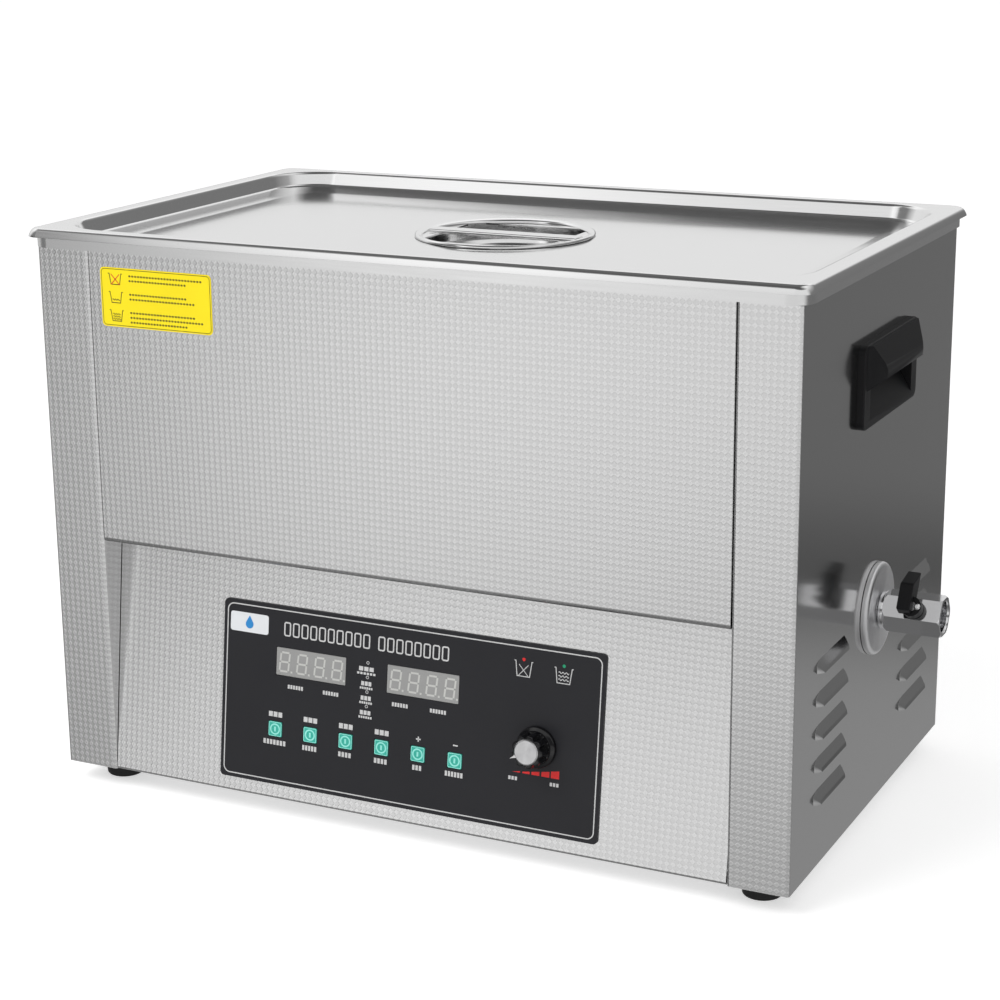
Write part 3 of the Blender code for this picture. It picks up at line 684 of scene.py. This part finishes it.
def lid():
    """The lid's sheet, the cup in its middle and the bar across the cup."""
    # Half width, half depth, corner and height, from the skirt over the rim and down to the floor
    sections = [
        (268.0, 165.5, 10.5, 364.8),
        (267.7, 165.2, 10.2, 365.9),
        (266.9, 164.4, 9.5, 367.6),
        (265.8, 163.3, 8.6, 369.1),
        (264.5, 162.0, 7.6, 370.0),
        (263.0, 160.5, 6.6, 370.4),
        (255.6, 154.1, 40.0, 370.4),
        (254.3, 152.8, 38.8, 370.15),
        (253.3, 151.8, 37.8, 369.4),
        (252.7, 151.1, 37.2, 368.2),
        (250.2, 148.0, 34.8, 361.8),
        (249.6, 147.2, 34.2, 360.8),
        (248.4, 146.0, 33.2, 360.2),
        (229.0, 126.6, 25.0, 358.5),
        (226.5, 124.0, 24.0, 358.2),
    ]
    loops = [ring(*section) for section in sections]
    floor_x, floor_y = sections[-1][:2]
    opening = 56.2
    hole = []
    for x, y, z in loops[-1]:
        angle = math.atan2(y / floor_y, x / floor_x)
        hole.append((opening * math.cos(angle), opening * math.sin(angle), z))
    panel = lofted("lid_sheet", loops + [hole], LID, closed_end=False)
    solidify(panel)
    settle(panel, "lid", "polished_steel", "lid_panel", sharp=30)
    rim, wall = 358.5, 55.5
    depth = rim - 18.0
    cup = [(0.0, depth)]
    cup += arc((wall - 9.0, depth + 8.0), 8.0, -90, 0, 10)
    cup += arc((wall + 1.0, rim - 0.6), 2.0, 180, 100, 6)
    cup += arc((58.2, rim + 0.2), 1.8, 90, 0, 6)
    cup += [(60.0, rim), (wall, rim), (wall, depth + 8.0)]
    cup += arc((wall - 9.0, depth + 8.0), 9.0, 0, -90, 10)
    cup += [(0.0, depth - 1.0)]
    settle(turned("lid_cup", cup, LID, sides=128), "lid", "polished_steel", "lid_handle_cup", sharp=40)
    section = rounded_rectangle(6.5, 1.5, 1.2, 6, (0.0, rim))
    strap = plate("lid_strap", [section], -53.2, 53.2, LID, SIDEWAYS)
    settle(strap, "lid", "polished_steel", "lid_handle_bar", sharp=40)


def tank():
    """The tank in one sheet: its flange, rim, lip and walls, and the round down to its floor."""
    flange_x, flange_y, flange_corner, flange_foot = 265.0, 162.5, 14.0, 358.0
    mouth_x, mouth_y, mouth_corner = 253.5, 152.0, 38.0
    rim_top, floor_z = 369.1, 166.0
    loops = [ring(flange_x, flange_y, flange_corner, flange_foot)]
    for inset, drop in quarter(4.0, 5):
        loops.append(ring(flange_x - inset, flange_y - inset, flange_corner - inset, rim_top - drop))
    for drop, out in quarter(3.0, 5):
        loops.append(ring(mouth_x + out, mouth_y + out, mouth_corner + out, rim_top - drop))
    for inset, rise in quarter(15.0, 8):
        loops.append(ring(mouth_x - inset, mouth_y - inset, mouth_corner - inset, floor_z + rise))
    basin = lofted("tank_basin", loops, TANK)
    solidify(basin)
    opening = cylinder("drain_opening", 9.0, 150, 180, base=at(215, DRAIN_Y, 0))
    carve(basin, [opening], sharp=30)
    settle(basin, "casing", "stainless_sheet", "tank", sharp=30)


# ---------------------------------------------------------------- controls

DISPLAYS = {"minutes_display": (-97.5, -45.0), "temperature_display": (-15.0, 37.0)}
KEYS = ("ultrasonic_key", "heater_key", "degas_key", "sweep_key", "plus_key", "minus_key")
# How far the film's face stands out of the slanted panel, and the layer printed on it
FACE = 1.3
PRINT = (FACE - 0.02, FACE + 0.05)


def key_spot(number):
    return at(KEY_X + KEY_PITCH * number, KEY_Y, 0, SLANT)


def digit(x, y, width, height, line):
    """The seven bars of a digit, leaning slightly."""
    lean = 0.09
    gap = 0.56

    def spot(u, v):
        return (x + width * u + lean * height * v, y + height * v)

    rows = [[(0, v), (1, v)] for v in (0, 0.5, 1)]
    columns = [[(u, v), (u, v + 0.5)] for u in (0, 1) for v in (0, 0.5)]
    pieces = []
    for ends in rows + columns:
        start, end = Vector(spot(*ends[0])), Vector(spot(*ends[1]))
        way = (end - start).normalized() * gap
        pieces += stroke([start + way, end - way], line)
    return pieces


def displays():
    foot, width, height, line = 87.6, 6.6, 12.6, 1.25
    for name, (start, end) in DISPLAYS.items():
        centre = ((start + end) / 2, DISPLAY_Y)
        outline = rounded_rectangle((end - start) / 2 - 0.3, 9.2, 0.5, 4, centre)
        window = plate(name + "_window", [outline], -11.8, 1.1, WINDOW, SLANT)
        settle(window, "casing", "display_window", name)
        marks = []
        pitch = (end - start) / 4
        for number in range(4):
            left = start + pitch * number + 2.6
            marks += digit(left, foot, width, height, line)
            marks.append(bar(left + 8.5, left + 9.8, foot - 0.7, foot + 0.6))
        segments = plate(name + "_segments", marks, 1.08, 1.14, SEGMENT, SLANT)
        settle(segments, "casing", "display_window")


def keys():
    for number, name in enumerate(KEYS):
        spot = key_spot(number)
        cap = plate(name + "_cap", [rounded_rectangle(5.0, 5.0, 0.9, 5)], -1.5, 1.62, TEAL, spot)
        rounded(cap, 0.25, 2, 60)
        settle(cap, name, "key_plastic", name)
        rim = stroke(rounded_rectangle(4.55, 4.55, 0.8, 5), 0.45, True)
        round_mark = stroke(arc((0, 0), 3.3, 0, 352.5, 47), 1.0, True)
        sign = [bar(-0.65, 0.65, -1.6, 1.6)]
        marks = plate(name + "_marks", rim + round_mark + sign, 1.6, 1.69, MINT, spot)
        settle(marks, name, "key_plastic")


def printed_marks():
    """The print on the film: a frame, blocks in place of words, and plain pictograms."""
    low, high = PRINT
    marks = stroke(rounded_rectangle(134.5, 57.4, 4.5, 8, FILM_CENTRE), 0.75, True)
    letter = 6.55
    for start, count in ((-92.5, 10), (-22.5, 8)):
        for number in range(count):
            x = start + letter * number + 0.6
            marks += stroke(rounded_rectangle(2.1, 4.3, 1.0, 3, (x + 2.4, 116.0)), 0.95, True)
    for start in (-88.0, -61.5, -10.5, 17.0):
        marks += words(start, start + 12.0, 76.6, 79.2, 6)
    column = -29.0
    for row in range(4):
        top = 99.6 - 9.6 * row
        wide = (6.4, 4.4, 4.4, 4.6)[row]
        marks += stroke(arc((column, top + 2.6), 0.9, 0, 345, 23), 0.35, True)
        marks += words(column - wide, column + wide * 0.8, top - 3.0, top - 0.2, 3, 0.2)
        marks += words(column - wide * 1.2, column + wide, top - 5.4, top - 3.9, 6)
    for number in range(len(KEYS)):
        x = KEY_X + KEY_PITCH * number
        if number < 4:
            marks += words(x - 5.2, x + 5.6, 56.2, 59.6, 3, 0.18)
        else:
            marks.append(bar(x - 1.7, x + 1.7, 57.4, 58.3))
        if number == 4:
            marks.append(bar(x - 0.45, x + 0.45, 56.2, 59.5))
        half = (8.7, 5.6, 5.0, 5.0, 3.6, 6.6)[number]
        marks += words(x - half, x + half, 37.3, 40.6, max(3, round(half * 0.85)))
    marks += words(74.1, 80.7, 42.5, 44.8, 3) + words(102.7, 109.3, 42.6, 44.9, 3)
    crossed, wavy = (81.0, 114.2), (108.4, 113.6)
    marks += tub(crossed, 11.0, 9.6, 0.55) + tub(wavy, 11.0, 9.6, 0.55)
    x, y = crossed
    marks += stroke([(x - 3.2, y - 4.4), (x + 3.2, y + 2.6)], 0.45)
    marks += stroke([(x - 3.2, y + 2.6), (x + 3.2, y - 4.4)], 0.45)
    red = [arc((x, y + 6.0), 1.1, 0, 330, 11)]
    x, y = wavy
    for level in (-2.6, -0.4, 1.8):
        marks += stroke(wave(x - 3.5, x + 3.5, y + level, 0.55), 0.45)
    green = [arc((x, y + 6.2), 1.1, 0, 330, 11)]
    settle(plate("panel_print", marks, low, high, WHITE, SLANT), "casing", "overlay_film")
    # The growing bars of the power scale, as (left, right, height of the top), and their foot
    scale = (
        (76.5, 82.0, 48.7), (83.6, 88.6, 49.5), (89.9, 95.3, 50.5),
        (96.7, 102.1, 51.6), (103.2, 108.8, 52.9),
    )
    foot, rise = 47.8, 0.16
    for first, last, top in scale:
        before = top - rise * (last - first)
        red.append([(first, foot), (last, foot), (last, top), (first, before)])
    settle(plate("panel_red_print", red, low, high, RED, SLANT), "casing", "overlay_film")
    settle(plate("panel_green_print", green, low, high, GREEN, SLANT), "casing", "overlay_film")
    outline = rounded_rectangle(14.5, 6.5, 1.8, 6, (-118.5, 116.5))
    badge = plate("panel_badge", [outline], low, FACE + 0.12, PALE, SLANT)
    settle(badge, "casing", "overlay_film")
    drop = [arc((-118.5, 115.6), 3.0, -220, 40, 20) + [(-118.5, 121.4)]]
    mark = plate("panel_badge_mark", drop, FACE + 0.1, FACE + 0.17, BLUE, SLANT)
    settle(mark, "casing", "overlay_film")


def overlay():
    outline = rounded_rectangle(137.25, 60.25, 3.0, 8, FILM_CENTRE)
    film = plate("panel_film", [outline], 0.3, FACE, FILM, SLANT)
    cuts = []
    for start, end in DISPLAYS.values():
        cuts.append(box("window_room", (start, 84.5, -2), (end, 103.5, 4), base=SLANT))
    for number in range(len(KEYS)):
        cuts.append(box("key_room", (-5.3, -5.3, -2), (5.3, 5.3, 4), base=key_spot(number)))
    cuts.append(cylinder("bushing_room", BUSHING, -2, 4, base=at(*KNOB_SPOT, 0, SLANT)))
    carve(film, cuts)
    settle(film, "casing", "overlay_film", "control_overlay")


def knob():
    """A fluted knob with a wide skirt, a spun metal cap and a white pointer."""
    spot = at(*KNOB_SPOT, 0, SLANT)
    profile = [(0, 17.3), (8.3, 17.3), (9.8, 17.1)] + arc((9.7, 16.1), 1.0, 75, 0, 4)
    profile += [(10.8, 14.0), (10.85, 9.0), (10.9, 6.2)]
    profile += arc((12.2, 6.0), 1.8, 180, 225, 3) + arc((12.1, 3.2), 1.2, 60, 0, 5)
    profile += [(13.3, 1.7), (5.0, 1.7), (5.0, 4.0), (3.3, 4.0), (3.3, 12.3), (0, 12.3)]
    body = turned("knob_grip", profile, GLOSS, spot, 160, lobes=(9, 1.9, 6.1, 17.2))
    settle(body, "knob", "knob_plastic", "power_knob", sharp=32)
    disc = [(0, 18.35), (7.3, 18.35)] + arc((7.3, 17.85), 0.5, 90, 0, 4)
    disc += [(8.1, 17.6), (0, 17.6)]
    metal = turned_metal("spun_aluminium", (0.82, 0.82, 0.83), spot, 0.26, 0.34)
    cap = turned("knob_cap_disc", disc, metal, spot, 96)
    settle(cap, "knob", "aluminium", "power_knob_cap", sharp=30)
    pointer_angle = 206
    turn = spot @ Matrix.Rotation(math.radians(pointer_angle), 4, "Z")
    tip = []
    for height, end in ((17.65, (12.0, 0, 17.65)), (18.3, (11.8, 0, 18.1))):
        tip += [(7.6, -1.0, height), (7.6, 1.0, height), end]
    settle(hull("knob_pointer", tip, turn, WHITE), "knob", "aluminium")


# ---------------------------------------------------------------- grips, drain and feet

def grip(hand, side):
    """A moulded grip: a face plate, a ramp that leads fingers in, and a hood over them."""
    outward = facing(at(0, 0, GRIP_Z), (side, 0, 0), (0, side, 0))
    face, front = BODY_X - 0.6, BODY_X + 4.7
    outline = rounded_rectangle(55.5, 26.25, 6.0, 8)
    body = plate(hand + "_grip_body", [outline], face, front, BLACK, outward)
    rounded(body, 0.9, 3, 60)
    bake(body)

    def block(name, section, half, slant=0.0):
        """The hull of an (x, z) section between both ends, which slant in beyond the face plate."""
        points = []
        for x, z in section:
            reach = half - slant * max(0.0, x - front)
            points += [(side * x, -reach, z), (side * x, reach, z)]
        return hull(name, points)

    middle, inside = (256.0, 296.0), 43.6
    outer = [(262.5, 314.6), (268.4, 314.6)] + arc(middle, 19.1, 60, 4, 8)
    outer += [(274.6, 293.2), (front, 287.0), (262.5, 287.0)]
    inner = [(262.0, 309.1), (266.6, 309.1)] + arc(middle, 16.9, 52, 2, 8)
    inner += [(272.6, 285.0), (262.0, 285.0)]
    ramp = [(front + 1.0, 266.4), (front + 1.0, 296.0), (256.6, 296.0), (256.6, 283.5)]
    pocket = box("pocket", *span(side, 255.3, 263.8, -45, 45, 268, 310.5))
    hollow = box("hollow", *span(side, 256.6, 262.9, -inside, inside, 282.5, 309.1))
    mouth = block("mouth", ramp, inside)
    room = block("room", inner, inside, 0.9)
    cover = block("hood", outer, 51.0, 1.5)
    carve(body, [hollow, mouth, room], [pocket, cover], sharp=38)
    rounded(body, 0.5, 2, 38)
    settle(body, "casing", "black_plastic", hand + "_grip", sharp=38)


def drain():
    """A spun rose, a hexagonal ball valve with a threaded mouth, and its handle."""
    disc = [(10.8, 266.2), (27.2, 266.2)] + arc((27.2, 263.4), 2.8, 90, 0, 10)
    disc += [(30.0, 261.8), (10.8, 261.8), (10.8, 266.2)]
    spun = turned_metal("spun_steel", (0.86, 0.86, 0.87), DRAIN, 0.36, 0.46)
    rose = turned("drain_rose", disc, spun, DRAIN, 128)
    settle(rose, "casing", "polished_steel", "drain_escutcheon", sharp=40)
    valve()


def valve():
    tilt = math.pi / 6
    across_flats = 24.0
    upright = DRAIN @ Matrix.Rotation(tilt, 4, "Z")
    radius = across_flats / math.sqrt(3)
    body = cylinder("valve_hexagon", radius, 270.2, 307.2, CHROME, upright, 6)
    chamfer = [(0, 309.0), (11.6, 308.6), (14.6, 304.8), (14.6, 273.0), (12.2, 269.6), (0, 269.6)]
    cone = turned("valve_chamfer", chamfer, None, DRAIN)
    combine(body, "INTERSECT", cone)
    bake(body)
    bpy.data.objects.remove(cone)
    rounded(body, 0.5, 3, 30)
    bake(body)
    neck = cylinder("neck", 10.2, 246.0, 272.0, None, DRAIN)
    step = [(0, 270.6), (11.4, 270.6), (12.2, 269.8), (12.2, 267.4), (11.4, 266.6), (0, 266.6)]
    collar = turned("collar", step, None, DRAIN)
    bore = cylinder("bore", 7.0, 240.0, 310.0, None, DRAIN)
    thread = [(0, 309.0), (10.9, 309.0), (10.2, 306.2)]
    for turn in range(7):
        thread += [(9.6, 305.8 - turn), (10.2, 305.3 - turn)]
    thread += [(9.6, 298.6), (0, 298.6)]
    mouth = turned("mouth", thread, None, DRAIN, 64)
    out = (0, -math.cos(tilt), math.sin(tilt))
    up = (0, math.sin(tilt), math.cos(tilt))
    stem_place = facing(at(290.0, DRAIN_Y, DRAIN_Z), out, up)
    chamber = cylinder("chamber", 8.6, -8.6, 8.6, None, stem_place)
    stem_hole = cylinder("stem_hole", 3.3, 0, 20, None, stem_place, 32)
    carve(body, [bore, mouth, chamber, stem_hole], [neck, collar], sharp=28)
    settle(body, "casing", "polished_steel", "valve_body", sharp=28)
    valve_handle(stem_place)


def valve_handle(stem_place):
    """What turns with the valve's stem: the rod, the finned handle and its screw."""
    stem = cylinder("stem_rod", 3.0, 8.5, 19.8, STEEL, stem_place, 48)
    settle(stem, "drain_handle", "steel", "valve_stem")
    outline = ((-4, 26), (13, 26), (24, 12.7), (0, 12.7), (-5.5, 19))
    fin = [(x, y, z) for x, z in outline for y in (-1, 7.5)]
    handle = cylinder("handle_moulding", 6.4, 12.7, 20.0, BLACK, stem_place, 64)
    blade = hull("handle_blade", fin, stem_place)
    rounded(blade, 0.9, 3, 20)
    bake(blade)
    hole = cylinder("handle_hole", 3.3, 10, 20.1, None, stem_place, 32)
    carve(handle, [hole], [blade], sharp=34)
    settle(handle, "drain_handle", "black_plastic", "valve_handle", sharp=34)
    dome = [(0, 21.5), (1.3, 21.4), (2.0, 20.8), (2.0, 20.3), (0, 20.3)]
    head = turned("handle_screw_head", dome, CHROME, at(0, -4.2, 0, stem_place), 48)
    settle(head, "drain_handle", "polished_steel", "handle_screw")


def feet():
    profile = [(0, -0.2), (13.4, -0.2)] + arc((13.4, -0.8), 0.6, 90, 0, 4) + [(13.9, -3.4)]
    profile += arc((11.0, -12.4), 1.6, 10, -90, 8) + [(0, UNDERSIDE)]
    for depth, y in (("front", -130), ("rear", 130)):
        for hand, x in (("left", -235), ("right", 235)):
            name = f"{depth}_{hand}_foot"
            pad = turned(name + "_pad", profile, RUBBER, at(x, y, 0), 64)
            settle(pad, "casing", "black_rubber", name)


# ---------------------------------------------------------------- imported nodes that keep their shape

def dress():
    """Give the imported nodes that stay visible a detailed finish."""
    finishes = {
        "base_plate": PLATE,
        "back_panel": PLATE,
        "fan_guard": STEEL,
        "potentiometer": STEEL,
        "power_knob_shaft": STEEL,
        "valve_ball": CHROME,
        "drain_elbow": BRASS,
        "drain_locknut": BRASS,
        "temperature_sensor": BRASS,
        "output_transformer": BRASS,
        "heat_sink": ALUMINIUM,
        "control_board": BOARD,
        "generator_board": BOARD,
        "front_heater_pad": HEATER,
        "rear_heater_pad": HEATER,
    }
    for name in ("fan_frame", "fan_rotor", "power_inlet", "fuse_holder"):
        finishes[name] = BLACK
    for name in ("mains_switch_frame", "mains_switch_rocker"):
        finishes[name] = BLACK
    for row in ("front", "rear"):
        for number in range(1, 5):
            finishes[f"{row}_transducer_{number}"] = ALUMINIUM
    for name, material in finishes.items():
        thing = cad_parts[name]
        for slot in thing.material_slots:
            slot.material = material


# ---------------------------------------------------------------- floor, light and camera

def studio():
    """A pale floor, one soft lamp, and a world that the steel mirrors but the camera sees as white."""
    shape = bmesh.new()
    bmesh.ops.create_grid(shape, x_segments=1, y_segments=1, size=9000)
    floor_material = new_material("pale_floor", (0.9, 0.9, 0.9), 0.0, 0.9)
    tint(floor_material, noise(floor_material, 3.0, 2.0), (0.88, 0.88, 0.88), (0.92, 0.92, 0.92))
    glow = floor_material.node_tree.nodes["Principled BSDF"]
    glow.inputs["Emission Color"].default_value = (1.0, 1.0, 1.0, 1.0)
    glow.inputs["Emission Strength"].default_value = 0.55
    floor = place("floor", shape, floor_material, at(0, 0, UNDERSIDE))
    floor.visible_glossy = False

    world = bpy.data.worlds.new("studio")
    bpy.context.scene.world = world
    world.use_nodes = True
    nodes, links = world.node_tree.nodes, world.node_tree.links
    direction = nodes.new("ShaderNodeTexCoord").outputs["Generated"]
    parted = nodes.new("ShaderNodeSeparateXYZ")
    links.new(direction, parted.inputs[0])

    def ramp(axis, *stops):
        """A grey for each value of one direction component."""
        scaled = nodes.new("ShaderNodeMapRange")
        scaled.inputs["From Min"].default_value = -1.0
        links.new(parted.outputs[axis], scaled.inputs["Value"])
        made = nodes.new("ShaderNodeValToRGB")
        elements = made.color_ramp.elements
        elements[0].color = (stops[0][1],) * 3 + (1.0,)
        elements[1].color = (stops[-1][1],) * 3 + (1.0,)
        for value, shade in stops:
            elements.new((value + 1) / 2).color = (shade, shade, shade, 1.0)
        links.new(scaled.outputs["Result"], made.inputs["Fac"])
        return made.outputs["Color"]

    def mixed(factor, first, second):
        made = nodes.new("ShaderNodeMix")
        made.data_type = "RGBA"
        links.new(factor, made.inputs["Factor"])
        links.new(first, made.inputs["A"])
        links.new(second, made.inputs["B"])
        return made.outputs["Result"]

    ahead = ramp("Z", (-1, 0.1), (-0.6, 0.25), (-0.38, 0.5), (-0.3, 0.7), (-0.25, 0.88),
                 (-0.18, 1.0), (-0.1, 0.72), (0.0, 0.7), (0.04, 0.2), (0.24, 0.2), (0.31, 0.85),
                 (0.78, 0.9), (0.84, 0.1))
    behind = ramp("Z", (-1, 0.2), (-0.3, 0.47), (0.0, 0.5), (0.12, 0.66), (0.4, 0.7),
                  (0.68, 0.92), (0.78, 0.12))
    beside = ramp("Z", (-1, 0.5), (-0.42, 0.27), (-0.34, 0.26), (-0.318, 0.18), (-0.30, 0.06),
                  (-0.26, 0.14), (-0.1, 0.14), (0.4, 0.165), (0.62, 0.34), (0.9, 0.75))
    across = ramp("X", (-1, 0.2), (-0.62, 0.2), (-0.59, 0.3), (-0.57, 0.68), (-0.53, 0.85), (-0.47, 1.0),
                  (-0.42, 1.0), (-0.36, 0.8), (-0.3, 0.77), (0.0, 0.75))
    to_front = ramp("Y", (-0.3, 1.0), (0.05, 0.0))
    to_right = ramp("X", (0.05, 0.0), (0.2, 1.0))
    shaded = mixed(to_front, ramp("X", (-1, 1.0)), across)
    white_front = mixed(to_front, behind, ahead)
    lit = mixed(to_right, white_front, mixed(to_front, beside, ahead))
    whole = nodes.new("ShaderNodeMix")
    whole.data_type = "RGBA"
    whole.blend_type = "MULTIPLY"
    whole.inputs["Factor"].default_value = 1.0
    links.new(lit, whole.inputs["A"])
    links.new(shaded, whole.inputs["B"])
    surround = nodes["Background"]
    surround.inputs["Strength"].default_value = 1.25
    links.new(whole.outputs["Result"], surround.inputs["Color"])
    plain = nodes.new("ShaderNodeBackground")
    plain.inputs["Color"].default_value = (1.0, 1.0, 1.0, 1.0)
    seen = nodes.new("ShaderNodeLightPath")
    choice = nodes.new("ShaderNodeMixShader")
    links.new(seen.outputs["Is Camera Ray"], choice.inputs["Fac"])
    links.new(surround.outputs[0], choice.inputs[1])
    links.new(plain.outputs[0], choice.inputs[2])
    links.new(choice.outputs[0], nodes["World Output"].inputs["Surface"])

    lamp = bpy.data.lights.new("key_light", "AREA")
    lamp.size = 1.6
    lamp.energy = 30.0
    key = bpy.data.objects.new("key_light", lamp)
    bpy.context.scene.collection.objects.link(key)
    key.visible_glossy = False
    key.location = (-1.0, -1.6, 2.2)
    key.rotation_euler = (Vector((0, 0, 0.2)) - key.location).to_track_quat("-Z", "Y").to_euler()


def camera():
    azimuth, elevation, roll = (math.radians(angle) for angle in (26.1993, 15.5704, -0.5427))
    level = math.cos(elevation)
    back = Vector((math.sin(azimuth) * level, -math.cos(azimuth) * level, math.sin(elevation)))
    right = Vector((math.cos(azimuth), math.sin(azimuth), 0))
    up = back.cross(right)
    across = math.cos(roll) * right + math.sin(roll) * up
    above = -math.sin(roll) * right + math.cos(roll) * up
    lens = bpy.data.cameras.new("camera")
    lens.sensor_width = 36.0
    lens.lens = 83.18
    lens.clip_end = 50.0
    eye = bpy.data.objects.new("camera", lens)
    bpy.context.scene.collection.objects.link(eye)
    place_eye = BODY @ Vector((0.66628, -1.36567, 0.59954))
    turn = Matrix((across, above, back)).transposed().to_4x4()
    eye.matrix_world = Matrix.Translation(place_eye) @ turn
    bpy.context.scene.camera = eye
    bpy.context.scene.view_settings.view_transform = "Standard"


casing()
sticker()
lid()
tank()
overlay()
displays()
keys()
printed_marks()
knob()
grip("left", -1)
grip("right", 1)
drain()
feet()
dress()
studio()
camera()
